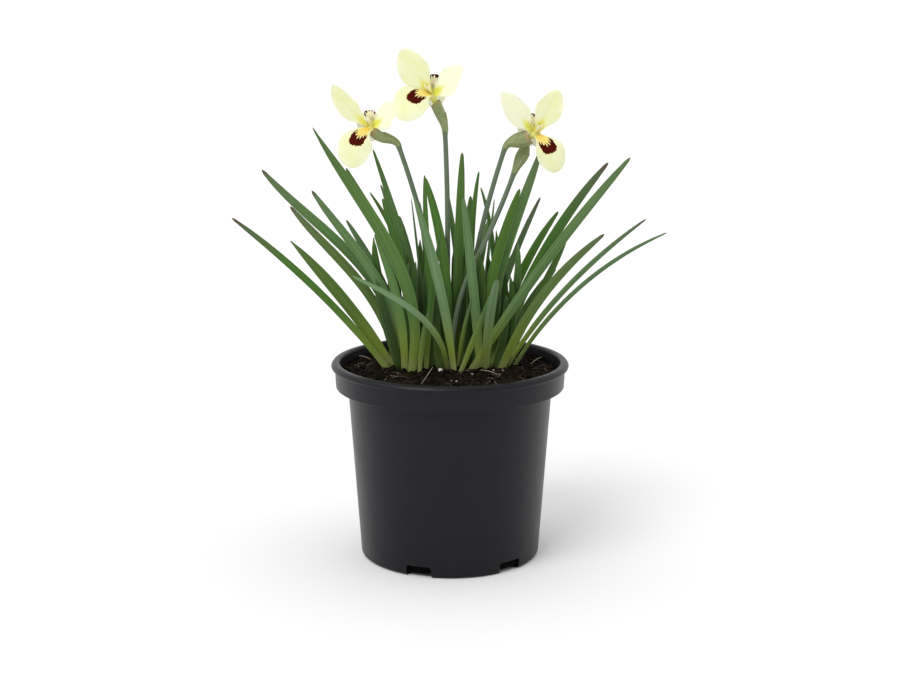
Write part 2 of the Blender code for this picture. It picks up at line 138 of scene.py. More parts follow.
# ---- stalks: the routes of the stems and their spathes ----
Stalk = namedtuple("Stalk", "name root low high top mouth girth")
STALKS = (
    Stalk("left", (-8, 26), (-7, 27, 205), (-18, 24, 263), (-40.6, 22, 327), (-60.3, 25.5, 338.4), 4.3),
    Stalk("middle", (-3.5, 19), (-1.5, 24, 215), (-1, 20, 280), (-3.9, 7, 340), (-11.2, 4, 362.3), 4.4),
    Stalk("right", (13, 23), (12, 29, 205), (23.5, 24, 264), (43.2, 16, 326.0), (62.3, 13.5, 335.0), 6.2),
    Stalk("bud", (1, -1), (3, 3, 228), (22, 16, 226), (50.8, 23, 305.5), (64.2, 29, 332), 4.8),
)
STEM_Z = 152.9
STEM_R_BASE = 2.3
STEM_R_TOP = 1.9
STEM_POINTS = 60
STEM_SIDES = 16
SPATHE_POINTS = 40
BRACT_THICK = 0.35
BRACT_ROWS = 30
BRACT_COLUMNS = 33
BRACT_WRAP = 1.04  # half turns to each side of its back
BRACT_LAP = 0.28  # one margin lies this much outside the line, the other inside
BRACT_FLAT = 0.88  # the roll is a little flatter than round
BRACT_U = 12.0  # half its width in the pattern

# ---- flowers ----
Tepal = namedtuple("Tepal", "tip bend width side hooded", defaults=(False,))
Flower = namedtuple("Flower", "name centre facing outer inner")
FLOWERS = (
    Flower("left", (-62, 26, 342), (-0.45, -0.68, 0.58),
        (Tepal((-13.8, -14, -31.2), (-16.5, -13, -4.7), 28, (-0.9, 0.25, 0.1)),
         Tepal((-3, 30, -14), (-3, 9, 30.8), 20, (1, 0, 0), True),
         Tepal((12, 28, 5), (7, 9, 15), 17, (0.83, -0.55, 0))),
        (Tepal((-29.8, -6, 33.6), (-22, -3, 13.5), 16, (0.75, 0.05, 0.66)),
         Tepal((21.5, -24, 19), (12, -13, 8), 21, (0.22, -0.48, -0.85)),
         Tepal((-13, 26, -20), (-8, 12, -6), 18, (0.89, 0.45, 0)))),
    Flower("middle", (-14, 2, 368.7), (-0.42, -0.66, 0.62),
        (Tepal((-23.5, -16, -18.5), (-13, -13, 8), 29, (-0.73, 0.44, 0.51)),
         Tepal((2, 30, -12), (3, 9, 36), 20, (1, 0, 0), True),
         Tepal((12, 28, 7), (8, 8, 15), 17, (0.83, -0.55, 0))),
        (Tepal((-22.5, -6, 35.3), (-15.5, -3, 19), 24, (0.85, -0.03, 0.53)),
         Tepal((23, -20, 23), (13.3, -12, 8.3), 22, (0.36, -0.5, -0.79)),
         Tepal((-12, 26, -16), (-8, 8, -4), 18, (0.89, 0.45, 0)))),
    Flower("right", (66.7, 12, 337.6), (0.42, -0.68, 0.6),
        (Tepal((15, -14, -28.8), (13, -14, -4.2), 23.5, (-0.9, -0.25, -0.1)),
         Tepal((-3, 30, -12), (-5, 8, 36), 20, (1, 0, 0), True),
         Tepal((-14, 26, 10), (-7, 8, 14), 17, (0.83, 0.55, 0))),
        (Tepal((17.2, -8, 34.7), (11.5, -4, 19.4), 21, (0.89, 0.07, -0.44)),
         Tepal((-26.6, -4, 32.6), (-13.6, -2, 15.5), 20, (0.72, 0.35, 0.6)),
         Tepal((10, 28, -20), (8, 10, -6), 18, (0.94, -0.34, 0)))),
)
TEPAL_STATIONS = 44
TEPAL_ACROSS = 26
TEPAL_THICK = 0.55
HOOD_CUP = -0.8  # of a hooded petal, as a share of half its width
STYLE_LEAN = 0.35  # how far the style leans towards the flower's open side
STYLE_RISE = 9.0
STYLE_POINTS = 16
STYLE_ACROSS = 7
STYLE_THICK = 0.22  # half of it
TUBE_SHARES = (-0.6, 0.3, 0.7, 1.0)  # stations from the spathe's mouth to the throat
TUBE_RADII = (1.7, 2.2, 3.0, 3.1, 1.6)  # there and at the tube's rounded end
TUBE_SIDES = 16
Outline = namedtuple("Outline", "claw foot widening tip taper root")
OUTER_OUTLINE = Outline(0.3, 0.05, 0.5, 0.62, 2.4, 0.5)
INNER_OUTLINE = Outline(0.22, 0.03, 0.45, 0.45, 2.0, 0.62)


# ---- small helpers ----

def ease(x):
    x = np.clip(x, 0.0, 1.0)
    return x * x * (3.0 - 2.0 * x)


def shares(count):
    """Evenly spaced numbers from 0 to 1."""
    return np.linspace(0.0, 1.0, count)


def bezier(points, count):
    """Points along the curve between two ends, given as end, handle, handle and end."""
    a, b, c, d = np.array(points, float)
    t = shares(count)[:, None]
    s = 1.0 - t
    return a * s ** 3 + b * (3 * s * s * t) + c * (3 * s * t * t) + d * t ** 3


def unit(vector):
    return np.asarray(vector, float) / norm(vector)


def units(rows):
    return rows / norm(rows, axis=1)[:, None]


def directions_along(points):
    return units(np.gradient(points, axis=0))


def square_to(directions, side):
    """The unit vectors closest to side that are square to the directions."""
    return units(side - directions * (directions * side).sum(axis=1)[:, None])


def frames_along(points, up):
    """For each point of a line: its direction and two vectors square to it, kept from spinning."""
    directions = directions_along(points)
    side = unit(np.cross(directions[0], up))
    sides = []
    for direction in directions:
        side = unit(side - direction * np.dot(side, direction))
        sides.append(side)
    return directions, np.array(sides), np.cross(sides, directions)


def run_along(points):
    """The distance from the first point to each one, along the line."""
    return np.concatenate([[0.0], np.cumsum(norm(np.diff(points, axis=0), axis=1))])


def add_object(name, data):
    added = bpy.data.objects.new(name, data)
    bpy.context.scene.collection.objects.link(added)
    return added


def mesh_object(name, bm):
    """An object made of a bmesh in millimetres, with its faces turned outwards."""
    bmesh.ops.recalc_face_normals(bm, faces=bm.faces)
    bmesh.ops.scale(bm, vec=(MM, MM, MM), verts=bm.verts)
    mesh = bpy.data.meshes.new(name)
    bm.to_mesh(mesh)
    bm.free()
    return add_object(name, mesh)


def smooth(mesh, sharp_deg):
    mesh.shade_smooth()
    if sharp_deg is not None:
        mesh.set_sharp_from_angle(angle=radians(sharp_deg))


def finish_mesh(name, bm, finish, replaces=(), sharp_deg=None):
    """Turns a bmesh into a piece that rides on the body."""
    piece = mesh_object(name, bm)
    piece.data.materials.append(finish.material)
    smooth(piece.data, sharp_deg)
    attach(piece, BODY)
    if replaces:
        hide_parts(*replaces)
    return piece


def layers_of(bm, keys):
    uv = bm.loops.layers.uv.get("mm") or bm.loops.layers.uv.new("mm")
    layers = bm.verts.layers.float
    return uv, {key: layers.get(key) or layers.new(key) for key in keys}


def add_grid(bm, points, values, floats):
    """Adds rows of vertices that carry the named values."""
    grid = [[bm.verts.new(p) for p in row] for row in points]
    for key, rows in values.items():
        for verts, numbers in zip(grid, rows):
            for vert, number in zip(verts, numbers):
                vert[floats[key]] = float(number)
    return grid


def add_face(bm, verts, corners, uv_layer):
    face = bm.faces.new(verts)
    for loop, corner in zip(face.loops, corners):
        loop[uv_layer].uv = corner


def add_skin(bm, rings, uv, values):
    """Adds a closed skin through rings of points. uv has one more column than the rings."""
    uv_layer, floats = layers_of(bm, values)
    verts = add_grid(bm, rings, values, floats)
    around = len(rings[0])
    for i in range(len(rings) - 1):
        for j in range(around):
            k = (j + 1) % around
            add_face(bm, (verts[i][j], verts[i][k], verts[i + 1][k], verts[i + 1][j]),
                     (uv[i][j], uv[i][j + 1], uv[i + 1][j + 1], uv[i + 1][j]), uv_layer)
    for ring, corner in ((verts[0][::-1], uv[0][0]), (verts[-1], uv[-1][0])):
        add_face(bm, ring, [corner] * around, uv_layer)


def add_slab(bm, front, back, uv, values):
    """Adds a thin closed sheet between two grids of points. The value named front is 1 there."""
    rows, columns = len(front), len(front[0])
    uv_layer, floats = layers_of(bm, [*values, "front"])
    sides = [add_grid(bm, points, {**values, "front": np.full((rows, columns), flag)}, floats)
             for points, flag in ((front, 1.0), (back, 0.0))]

    def quad(corners):
        add_face(bm, [sides[s][i][j] for s, i, j in corners], [uv[i][j] for _, i, j in corners], uv_layer)

    for s in (0, 1):
        for i in range(rows - 1):
            for j in range(columns - 1):
                quad([(s, i, j), (s, i + 1, j), (s, i + 1, j + 1), (s, i, j + 1)])
    border = [(0, j) for j in range(columns)] + [(i, columns - 1) for i in range(1, rows)]
    border += [(rows - 1, j) for j in reversed(range(columns - 1))]
    border += [(i, 0) for i in reversed(range(1, rows - 1))]
    for (i, j), (k, m) in zip(border, border[1:] + border[:1]):
        quad([(0, i, j), (0, k, m), (1, k, m), (1, i, j)])


def tube_rings(points, radii, around, up=BACK):
    """Rings for a round rod along a line of points, and their UV in millimetres."""
    points = np.asarray(points, float)
    _, sides, normals = frames_along(points, up)
    angles = np.linspace(0.0, tau, around, endpoint=False)
    rings = [p + r * (np.outer(np.cos(angles), a) + np.outer(np.sin(angles), b))
             for p, r, a, b in zip(points, radii, sides, normals)]
    uv = [[(j * tau * r / around, along) for j in range(around + 1)]
          for r, along in zip(radii, run_along(points))]
    return rings, uv


# ---- finishes ----

class Nodes:
    """A node tree, with short calls for the nodes that feed it."""

    def __init__(self, tree):
        self.tree = tree

    def feed(self, socket, value):
        if isinstance(value, bpy.types.NodeSocket):
            self.tree.links.new(value, socket)
        elif socket.type == "RGBA":
            socket.default_value = (*value, 1.0)
        else:
            socket.default_value = value

    def node(self, kind, inputs, **settings):
        """Adds a node and returns its outputs."""
        made = self.tree.nodes.new("ShaderNode" + kind)
        for key, value in settings.items():
            setattr(made, key, value)
        for socket, value in inputs.items():
            self.feed(made.inputs[socket], value)
        return made.outputs

    def math(self, operation, first, second=0.0):
        return self.node("Math", {0: first, 1: second}, operation=operation)[0]

    def times(self, *values):
        return reduce(lambda a, b: self.math("MULTIPLY", a, b), values)

    def plus(self, *values):
        return reduce(lambda a, b: self.math("ADD", a, b), values)

    def minus(self, first, second):
        return self.math("SUBTRACT", first, second)

    def step(self, value, low, high):
        """0 at low, 1 at high, eased between them; low may be the larger."""
        inputs = {"Value": value, "From Min": low, "From Max": high}
        return self.node("MapRange", inputs, interpolation_type="SMOOTHSTEP")[0]

    def span(self, value, low, high):
        """0 to 1 stretched to low to high."""
        return self.node("MapRange", {"Value": value, "To Min": low, "To Max": high})[0]

    def mix(self, share, first, second):
        return self.node("Mix", {0: share, 6: first, 7: second}, data_type="RGBA")[2]

    def coats(self, base, *coats):
        """Lays colours over the base in turn. A coat is a colour and the factors that thin it."""
        for colour, *factors in coats:
            base = self.mix(self.times(*factors), base, colour)
        return base

    def noise(self, vector, scale, detail):
        return self.node("TexNoise", {"Vector": vector, "Scale": scale, "Detail": detail})["Fac"]

    def streaks(self, vector, scale, detail):
        """Noise with its own scale along each axis."""
        return self.noise(self.node("Mapping", {"Vector": vector, "Scale": scale})[0], 1.0, detail)

    def value(self, name):
        return self.node("Attribute", {}, attribute_name=name)["Fac"]

    def uv(self):
        return self.node("UVMap", {}, uv_map="mm")[0]

    def place(self, kind="Object"):
        return self.node("TexCoord", {})[kind]

    def parts(self, vector):
        return self.node("SeparateXYZ", {0: vector})


class Finish(Nodes):
    """A Principled material."""

    def __init__(self, name, specular, sockets={}):
        self.material = bpy.data.materials.new(name)
        self.material.use_nodes = True
        super().__init__(self.material.node_tree)
        self.inputs = self.tree.nodes["Principled BSDF"].inputs
        for socket, value in {"Specular IOR Level": specular, **sockets}.items():
            self.inputs[socket].default_value = value

    def colour(self, base, *coats):
        self.feed(self.inputs["Base Color"], self.coats(base, *coats))

    def roughness(self, value, low, high):
        self.feed(self.inputs["Roughness"], self.span(value, low, high))

    def bump(self, height, distance, strength):
        inputs = {"Height": height, "Distance": distance, "Strength": strength}
        self.feed(self.inputs["Normal"], self.node("Bump", inputs)[0])


def pot_finish():
    """Moulded black plastic: nearly even, with faint flow marks, dust and rubbed patches."""
    f = Finish("pot_plastic", 0.21)
    place = f.place()
    patches = f.noise(place, 45.0, 4.0)
    dust = f.step(f.noise(place, 420.0, 3.0), 0.56, 0.74)
    black = f.mix(patches, (0.0042, 0.0035, 0.006), (0.007, 0.0058, 0.0098))
    f.colour(black, ((0.05, 0.048, 0.05), dust, 0.07))
    f.roughness(patches, 0.3, 0.44)
    grain = f.noise(place, 2600.0, 2.0)
    flow = f.streaks(place, (60.0, 60.0, 9.0), 2.0)
    f.bump(f.plus(f.times(grain, 0.25), flow), 0.00035, 0.5)
    return f


def soil_finish():
    """Dark peat with paler flecks, and painted shade that turns it almost black low in the pot, where the
    notches show it.
    """
    f = Finish("peat", 0.06)
    place = f.place()
    clods = f.noise(place, 160.0, 5.0)
    flecks = f.step(f.noise(place, 900.0, 3.0), 0.58, 0.72)
    dark = f.mix(f.step(clods, 0.3, 0.72), (0.0016, 0.001, 0.0006), (0.0175, 0.0118, 0.0066))
    # painted shade: the peat turns almost black low down, for the shadow inside the notches
    deep = f.step(f.parts(place)[2], SOIL_SHADE_HEIGHTS[0] * MM, SOIL_SHADE_HEIGHTS[1] * MM)
    f.colour(dark, ((0.062, 0.04, 0.022), flecks, 0.4), ((0.002, 0.0014, 0.001), deep))
    f.roughness(clods, 0.75, 1.0)
    f.bump(f.noise(place, 1100.0, 5.0), 0.0008, 0.9)
    return f


def fibre_finish():
    f = Finish("root_fibre", 0.2, {"Roughness": 0.8})
    shade = f.noise(f.place(), 300.0, 3.0)
    dark = f.mix(shade, (0.035, 0.02, 0.011), (0.1, 0.062, 0.035))
    f.colour(dark, (f.mix(shade, (0.34, 0.28, 0.2), (0.62, 0.55, 0.43)), f.value("pale")))
    f.bump(f.noise(f.place(), 2500.0, 2.0), 0.0002, 0.5)
    return f


def perlite_finish():
    f = Finish("perlite", 0.3, {"Roughness": 0.85})
    shade = f.noise(f.place(), 900.0, 3.0)
    f.colour(f.mix(shade, (0.5, 0.48, 0.42), (0.9, 0.89, 0.85)))
    f.bump(shade, 0.0006, 0.8)
    return f


WAX_GREY = (0.205, 0.31, 0.185)
FOOT_YELLOW = (0.29, 0.39, 0.05)
SHEATH_PALE = (0.42, 0.45, 0.2)
# painted shade colour for leaves low in the clump
PAINTED_SHADE_GREEN = (0.007, 0.032, 0.002)
DRY_GREY = (0.11, 0.122, 0.082)
TIP_BROWN = (0.105, 0.082, 0.052)
# painted highlight colour along a leaf's edges
EDGE_HIGHLIGHT = (0.19, 0.27, 0.12)


def leaf_finish():
    """Satin strap leaf: fine lengthwise veins, a waxy bloom on some, yellow-green foot, dry tip, painted
    shade low in the clump and a painted highlight along the edges.
    """
    f = Finish("leaf", 0.2)
    uv = f.uv()
    veins = f.streaks(uv, (2.6, 0.012, 1.0), 2.0)
    ribs = f.streaks(uv, (0.9, 0.006, 1.0), 1.0)
    mottle = f.streaks(uv, (0.1, 0.022, 1.0), 4.0)
    green = f.mix(f.value("tone"), (0.026, 0.096, 0.007), (0.076, 0.195, 0.018))
    height, foot, dry = f.value("height"), f.value("foot"), f.value("dry")
    ragged = f.plus(f.value("along"), f.times(f.minus(ribs, 0.5), 0.05))
    f.colour(
        green,
        ((0.056, 0.155, 0.011), f.step(mottle, 0.35, 0.7), 0.5),
        ((0.095, 0.14, 0.018), f.value("olive")),
        (WAX_GREY, f.value("wax"), f.span(mottle, 0.55, 1.0)),
        ((0.022, 0.08, 0.005), f.step(ribs, 0.56, 0.44), 0.35),
        ((0.128, 0.245, 0.046), f.step(veins, 0.42, 0.68), 0.34),
        (FOOT_YELLOW, f.step(height, 55.0, 4.0), foot),
        (SHEATH_PALE, f.step(height, 16.0, 1.0), foot, 0.6),
        # painted shade: back and inner leaves darken towards the soil, for the shadow inside the clump
        (PAINTED_SHADE_GREEN, f.step(height, 115.0, 40.0), f.value("deep")),
        (DRY_GREY, f.step(ragged, 0.62, 0.95), dry, 0.6),
        (TIP_BROWN, f.step(f.plus(ragged, f.times(dry, 0.05)), 0.985, 1.02)),
        # painted highlight: the strips along the edges are paler
        (EDGE_HIGHLIGHT, f.step(f.value("rim"), 0.86, 0.97), 0.45))
    f.roughness(mottle, 0.34, 0.56)
    f.bump(f.plus(veins, ribs), 0.00028, 0.7)
    return f


def stem_finish():
    f = Finish("stem", 0.4)
    streaks = f.streaks(f.uv(), (1.6, 0.02, 1.0), 2.0)
    mottle = f.noise(f.place(), 60.0, 4.0)
    green = f.mix(mottle, (0.055, 0.1, 0.042), (0.105, 0.155, 0.085))
    f.colour(green, ((0.155, 0.205, 0.12), f.step(streaks, 0.5, 0.7), 0.3),
             ((0.165, 0.215, 0.15), f.value("wax"), 0.6))
    f.roughness(mottle, 0.42, 0.6)
    f.bump(streaks, 0.00025, 0.6)
    return f


def bract_finish():
    """Pale green sheath with lengthwise veins, a thin pale margin and a dry tan mouth."""
    f = Finish("bract", 0.35, {"Subsurface Weight": 0.12, "Subsurface Scale": 0.002})
    veins = f.streaks(f.uv(), (1.5, 0.03, 1.0), 2.0)
    mottle = f.noise(f.place(), 140.0, 3.0)
    green = f.mix(mottle, (0.16, 0.212, 0.072), (0.28, 0.325, 0.145))
    f.colour(green, ((0.42, 0.46, 0.29), f.step(veins, 0.5, 0.7), 0.55),
             ((0.56, 0.59, 0.36), f.step(f.value("edge"), 0.55, 0.15), 0.75),
             ((0.4, 0.27, 0.13), f.value("dry"), f.span(veins, 0.55, 1.1)))
    f.roughness(mottle, 0.5, 0.7)
    f.bump(veins, 0.0003, 0.7)
    return f


MAROON = (0.042, 0.0026, 0.0014)
FAN_ORANGE = (0.84, 0.545, 0.085)
RAY_PALE = (0.9, 0.74, 0.33)
HALO_ORANGE = (0.86, 0.52, 0.2)
THROAT_YELLOW = (0.69, 0.66, 0.12)
WEDGE_YELLOW = (0.72, 0.68, 0.1)
VEIN_YELLOW = (0.74, 0.72, 0.3)
PETAL_PALE = (0.815, 0.85, 0.56)
PETAL_YELLOW = (0.765, 0.785, 0.41)
# painted light: the paler colour given to petals at the back, in shade
PETAL_PAINTED_LIGHT = (0.855, 0.872, 0.69)
PETAL_GLOW = {"Subsurface Scale": 0.003, "Subsurface Radius": (1.0, 0.95, 0.55)}
SIDE_PAINTED_LIGHT = 0.5  # share of painted light on the inner petal turned away from the light
BLOTCH_Y = 15.9  # mm out from the throat
BLOTCH_HALF = (6.4, 7.3)
REAR_BLOTCH_HALF = 4.6  # the mark is narrower on the rear petals, and most of it is fan
FAN_END = 15.4  # how far out the orange fan reaches on the middle line
FAN_ARC = 0.19  # how much sooner it ends away from that line, by distance squared


def petal_finish():
    """Pale yellow petal with fine veins; marked ones carry an orange fan and a maroon blotch. Painted
    light makes the petals at the back, in shade, paler.
    """
    f = Finish("petal", 0.03, {"Subsurface Weight": 0.5, **PETAL_GLOW})
    uv = f.uv()
    x, y, _ = f.parts(uv)
    beside = f.math("ABSOLUTE", x)
    angle = f.math("ARCTAN2", x, f.plus(y, 3.0))
    flow = f.node("CombineXYZ", {"X": f.times(angle, 14.0), "Y": f.times(y, 0.035)})
    veins = f.noise(flow[0], 2.2, 3.0)
    clouds = f.streaks(uv, (0.06, 0.05, 1.0), 3.0)
    blanched, marked, front = f.value("blanched"), f.value("marked"), f.value("front")
    pale = f.mix(f.step(clouds, 0.3, 0.75), PETAL_PALE, PETAL_YELLOW)

    # the yellow wedge down the middle of an inner petal
    wedge = f.minus(beside, f.span(f.math("DIVIDE", y, 17.0), 3.6, 1.0))
    wedge = f.times(f.step(wedge, 1.7, -1.2), f.step(y, 19.0, 8.0), f.minus(1.0, marked))

    # the blotch, a ragged rounded square
    wobble = f.minus(f.streaks(uv, (0.42, 0.42, 1.0), 2.0), 0.5)
    across = f.math("DIVIDE", x, f.span(blanched, BLOTCH_HALF[0], REAR_BLOTCH_HALF))
    out = f.math("DIVIDE", f.minus(y, BLOTCH_Y), BLOTCH_HALF[1])
    square = [f.math("POWER", f.math("ABSOLUTE", part), 3.0) for part in (across, out)]
    teeth = f.math("SINE", f.times(angle, 74.0))
    edge = f.plus(*square, f.times(wobble, 0.9), f.times(teeth, 0.07))

    # the fan of rays that covers the blotch's inner part
    rays = f.math("SINE", f.plus(f.times(angle, 52.0), f.times(wobble, 5.0)))
    reach = f.plus(FAN_END, f.times(rays, 1.9), f.times(wobble, 3.0))
    reach = f.minus(reach, f.times(FAN_ARC, f.times(x, x)))
    narrow = f.minus(beside, f.plus(2.0, f.times(y, 0.27)))
    fan = f.times(f.step(f.minus(y, reach), 0.5, -0.4), f.step(narrow, 0.5, -0.5))
    on = f.times(marked, front)
    orange = f.coats(FAN_ORANGE, (RAY_PALE, f.step(rays, 0.0, 0.9), f.step(y, 6.0, 10.0)))
    f.colour(
        pale,
        (VEIN_YELLOW, f.step(veins, 0.52, 0.72), 0.22),
        # painted light: rear petals in shade are coloured paler
        (PETAL_PAINTED_LIGHT, blanched),
        (THROAT_YELLOW, f.step(y, 14.0, 2.0), f.value("throat")),
        (WEDGE_YELLOW, wedge, front, 0.95),
        (HALO_ORANGE, f.step(edge, 1.75, 1.0), 0.3, on),
        (orange, fan, f.step(y, 1.0, 4.0), on, f.span(blanched, 1.0, 0.25), 0.92),
        (MAROON, f.step(edge, 1.06, 0.92), f.minus(1.0, fan), on))
    f.roughness(clouds, 0.48, 0.66)
    f.bump(veins, 0.00022, 0.55)
    return f


def style_finish():
    f = Finish("style_branch", 0.1, {"Subsurface Weight": 0.4, **PETAL_GLOW})
    shade = f.noise(f.place(), 260.0, 3.0)
    yellow = f.mix(shade, (0.64, 0.6, 0.11), (0.78, 0.74, 0.27))
    f.colour(yellow, ((0.89, 0.86, 0.6), f.step(f.value("along"), 0.25, 0.95)))
    f.roughness(shade, 0.45, 0.62)
    f.bump(shade, 0.0003, 0.4)
    return f


# ---- pot and soil ----

def rounded(profile, radius, steps):
    """Rounds each inner corner of an open outline."""
    result = [profile[0]]
    for corners in zip(profile, profile[1:], profile[2:]):
        a, b, c = (np.array(p, float) for p in corners)
        cut = min(radius, 0.45 * norm(a - b), 0.45 * norm(c - b))
        start, end = b + unit(a - b) * cut, b + unit(c - b) * cut
        for t in shares(steps + 1):
            result.append(tuple((1 - t) ** 2 * start + 2 * t * (1 - t) * b + t * t * end))
    return result + [profile[-1]]


def add_ring(bm, radius, sides, height):
    """Vertices round the pot's axis. height is given for a place, as x and y."""
    ring = []
    for a in np.linspace(0.0, tau, sides, endpoint=False):
        x, y = radius * cos(a), radius * sin(a)
        ring.append(bm.verts.new((x, y, height(x, y))))
    return ring


def add_fan(bm, ring, middle):
    for vert, following in zip(ring, ring[1:] + ring[:1]):
        bm.faces.new((vert, following, middle))


def bridge(bm, rows):
    """Joins each closed row of vertices to the next one."""
    for low, high in zip(rows, rows[1:]):
        for j in range(len(low)):
            k = (j + 1) % len(low)
            bm.faces.new((low[j], low[k], high[k], high[j]))


def turned(profile, sides):
    """A closed solid of revolution: the first and last points of the profile are on the axis."""
    bm = bmesh.new()
    rows = [add_ring(bm, r, sides, lambda x, y: z) for r, z in profile[1:-1]]
    bridge(bm, rows)
    for ring, (_, z) in ((rows[0], profile[0]), (rows[-1], profile[-1])):
        add_fan(bm, ring, bm.verts.new((0.0, 0.0, z)))
    return bm


def make_pot(finish):
    """The pot, with the drainage notches cut through the foot of its wall."""
    profile = [
        (0, 0), (POT_FOOT_R, 0), (POT_WALL_R0, POT_FOOT_RISE),
        (POT_WALL_R1, COLLAR_Z), (COLLAR_R, COLLAR_Z + 0.4),
        (COLLAR_R + 0.8, BEAD_Z), (BEAD_R - 0.5, BEAD_Z + 0.5), (BEAD_R, BEAD_Z + 2.4),
        (BEAD_R - 1.6, POT_HEIGHT - 0.7), (BEAD_R - 3.6, POT_HEIGHT), (LIP_R + 0.8, POT_HEIGHT - 0.2),
        (LIP_R, POT_HEIGHT - 1.8), (LIP_R - 1.6, COLLAR_Z + 3.0),
        (POT_WALL_R1 - POT_WALL, COLLAR_Z - 2.0), (POT_WALL_R0 - POT_WALL, POT_FLOOR), (0, POT_FLOOR)]
    solid = turned(rounded(profile, POT_ROUNDING, POT_ROUNDING_STEPS), POT_SIDES)
    pot = finish_mesh("nursery_pot", solid, finish, ["pot"])
    for angle in NOTCH_ANGLES:
        cutter = notch_cutter(radians(angle))
        modifier = pot.modifiers.new("notch", "BOOLEAN")
        modifier.object = cutter
        modifier.operation = "DIFFERENCE"
        modifier.solver = "EXACT"
        bpy.context.view_layer.update()
        evaluated = pot.evaluated_get(bpy.context.evaluated_depsgraph_get())
        mesh = bpy.data.meshes.new_from_object(evaluated)
        pot.modifiers.clear()
        pot.data = mesh
        bpy.data.objects.remove(cutter, do_unlink=True)
    smooth(pot.data, POT_SHARP)


def notch_cutter(angle):
    """A block that cuts one notch: square at the floor, with rounded upper corners."""
    half = NOTCH_WIDTH / 2.0
    corner = NOTCH_CORNER
    outline = [(-half, -1.0), (half, -1.0)]
    for centre, start in ((half - corner, 0.0), (corner - half, 90.0)):
        for k in range(6):
            a = radians(start + 18.0 * k)
            outline.append((centre + corner * cos(a), NOTCH_HEIGHT - corner + corner * sin(a)))
    bm = bmesh.new()
    ends = [[bm.verts.new((POT_WALL_R0 + reach, across, z)) for across, z in outline]
            for reach in NOTCH_REACH]
    bridge(bm, ends)
    for end in ends:
        bm.faces.new(end)
    bmesh.ops.rotate(bm, cent=(0, 0, 0), matrix=Matrix.Rotation(angle, 3, "Z"), verts=bm.verts)
    return mesh_object("notch_cutter", bm)


def soil_height(x, y):
    """The lumpy surface: the solid's profile with clods of three sizes."""
    level = float(np.interp(hypot(x, y), *zip(*SOIL_TOP)))
    lumps = sum(height * noise.noise(Vector((x, y, seed)) / breadth) for height, seed, breadth in CLODS)
    return level + lumps


def make_soil(finish):
    top_r = SOIL_TOP[-1][0]
    bm = bmesh.new()
    middle = bm.verts.new((0.0, 0.0, soil_height(0.0, 0.0)))
    rows = [add_ring(bm, top_r * k / SOIL_RINGS, SOIL_SIDES, soil_height)
            for k in range(1, SOIL_RINGS + 1)]
    rows += [add_ring(bm, r, SOIL_SIDES, lambda x, y: z) for r, z in SOIL_UNDER]
    bridge(bm, rows)
    add_fan(bm, rows[0], middle)
    bm.faces.new(rows[-1])
    finish_mesh("peat", bm, finish, ["soil"])


def add_lump(bm, x, y, size, squash, lift, rng):
    """A small uneven grain on the soil, raised by a share of its size."""
    made = bmesh.ops.create_icosphere(bm, subdivisions=1, radius=1.0)["verts"]
    turn = Matrix.Rotation(rng.uniform(0, TURN), 3, "Z") @ Matrix.Rotation(rng.uniform(0, TURN), 3, "X")
    seed = Vector([rng.uniform(0, 90) for _ in range(3)])
    centre = Vector((x, y, soil_height(x, y)))
    for v in made:
        bulge = 1.0 + 0.45 * noise.noise(v.co * 1.4 + seed)
        p = turn @ Vector((v.co.x, v.co.y * squash, v.co.z * 0.75)) * (bulge * size)
        v.co = p + centre + Vector((0.0, 0.0, size * lift))


def in_disc(rng, radius):
    r, a = radius * sqrt(rng.random()), rng.uniform(0.0, tau)
    return r * cos(a), r * sin(a)


def make_crumbs(finish):
    rng = random.Random(11)
    bm = bmesh.new()
    for _ in range(CRUMB_COUNT):
        x, y = in_disc(rng, CRUMB_REACH)
        size = 0.45 + 1.9 * rng.random() ** 3
        add_lump(bm, x, y, size, rng.uniform(0.55, 1.0), 0.25, rng)
    finish_mesh("peat_crumbs", bm, finish)


def add_fibre(bm, start, end, rise, radius, pale, sag, rng):
    """A thin root that lies over the clods from start to end, bent sideways by a share of its length."""
    a, b = np.array(start, float), np.array(end, float)
    across = np.array([a[1] - b[1], b[0] - a[0]]) * rng.uniform(-sag, sag)
    wave = rng.uniform(0.0, TURN)
    low, high = soil_height(*a), soil_height(*b)
    along = shares(FIBRE_POINTS)
    points = []
    for t in along:
        x, y = a + (b - a) * t + across * sin(pi * t) + sag * 1.5 * sin(wave + 9.0 * t)
        lift = 0.4 + low + (high - low) * t + rise * sin(pi * min(t * 0.9 + 0.1, 1.0))
        points.append((x, y, max(lift, soil_height(x, y) + 0.2)))
    rings, uv = tube_rings(points, radius * (1.0 - 0.6 * along), FIBRE_SIDES, UP)
    add_skin(bm, rings, uv, {"pale": np.full((FIBRE_POINTS, FIBRE_SIDES), pale)})


def make_fibres(finish):
    """A few pale roots and many finer, darker fibres."""
    rng = random.Random(23)
    bm = bmesh.new()
    for start, end, rise in ROOTS:
        add_fibre(bm, start, end, rise, ROOT_R, 1.0, 0.02, rng)
    for _ in range(FIBRE_COUNT):
        x, y = in_disc(rng, FIBRE_REACH)
        a, length = rng.uniform(0.0, TURN), rng.uniform(4.0, 15.0)
        end = (x + length * cos(a), y + length * sin(a))
        if hypot(*end) < FIBRE_LIMIT:
            add_fibre(bm, (x, y), end, rng.uniform(0.0, 1.2), rng.uniform(0.12, 0.24),
                      0.7 * rng.random() ** 3, 0.15, rng)
    finish_mesh("root_fibres", bm, finish)


def make_perlite(finish):
    rng = random.Random(5)
    bm = bmesh.new()
    add_lump(bm, *PERLITE_LARGE, 2.3, 0.95, 0.8, rng)
    for x, y in PERLITE_SMALL:
        add_lump(bm, x, y, 0.9, 0.8, 0.5, rng)
    for _ in range(PERLITE_COUNT):
        x, y = in_disc(rng, PERLITE_REACH)
        add_lump(bm, x, y, rng.uniform(0.35, 0.9), 0.8, 0.4, rng)
    finish_mesh("perlite_grains", bm, finish)


# ---- leaves ----

